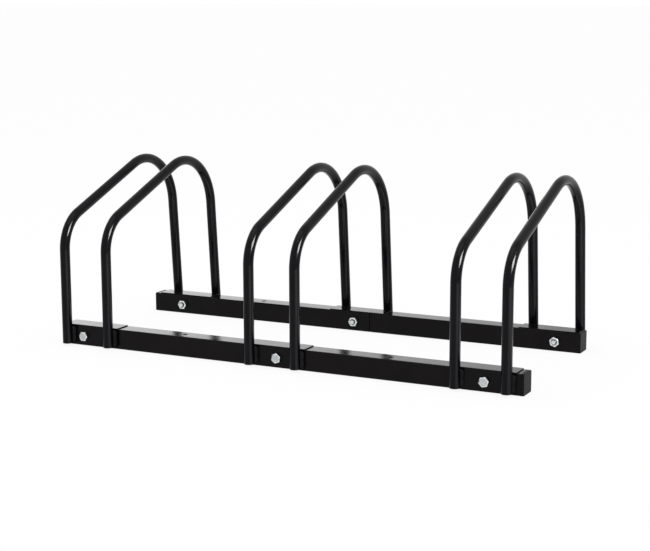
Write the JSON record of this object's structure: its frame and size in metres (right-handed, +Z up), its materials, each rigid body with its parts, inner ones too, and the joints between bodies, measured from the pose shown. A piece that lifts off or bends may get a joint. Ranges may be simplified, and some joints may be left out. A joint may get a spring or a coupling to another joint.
{
  "type": "bicycle floor rack",
  "caption": "Low black steel bicycle rack: pairs of bent-tube hoops form wheel bays, bolted by angle brackets to two square rails with capped ends and floor anchor holes.",
  "frame": {"origin": "on the floor, under the middle of the rack", "axes": "+X along the rails to the right, seen from the low front of the hoops; +Y to the rear, where the hoops are high; +Z up"},
  "size_m": [0.741, 0.334, 0.2685],
  "materials": {
    "hoop_paint": "glossy black powder coat on bent steel tube",
    "rail_paint": "glossy black powder coat on square tube and sheet",
    "zinc_plate": "bright zinc plating",
    "cap_plastic": "black moulded plastic, fine grain"
  },
  "bodies": {
    "root": {"left_bay_left_hoop": "hoop_paint", "left_bay_right_hoop": "hoop_paint", "middle_bay_left_hoop": "hoop_paint", "middle_bay_right_hoop": "hoop_paint", "right_bay_left_hoop": "hoop_paint", "right_bay_right_hoop": "hoop_paint", "front_left_bracket": "rail_paint", "front_left_welds": "hoop_paint", "front_left_bolt": "zinc_plate", "front_left_nut": "zinc_plate", "front_middle_bracket": "rail_paint", "front_middle_welds": "hoop_paint", "front_middle_bolt": "zinc_plate", "front_middle_nut": "zinc_plate", "front_right_bracket": "rail_paint", "front_right_welds": "hoop_paint", "front_right_bolt": "zinc_plate", "front_right_nut": "zinc_plate", "front_plain_tube": "rail_paint", "front_necked_tube": "rail_paint", "front_left_cap": "cap_plastic", "front_right_cap": "cap_plastic", "rear_left_bracket": "rail_paint", "rear_left_welds": "hoop_paint", "rear_left_bolt": "zinc_plate", "rear_left_nut": "zinc_plate", "rear_middle_bracket": "rail_paint", "rear_middle_welds": "hoop_paint", "rear_middle_bolt": "zinc_plate", "rear_middle_nut": "zinc_plate", "rear_right_bracket": "rail_paint", "rear_right_welds": "hoop_paint", "rear_right_bolt": "zinc_plate", "rear_right_nut": "zinc_plate", "rear_plain_tube": "rail_paint", "rear_necked_tube": "rail_paint", "rear_left_cap": "cap_plastic", "rear_right_cap": "cap_plastic"}
  },
  "joints": []
}
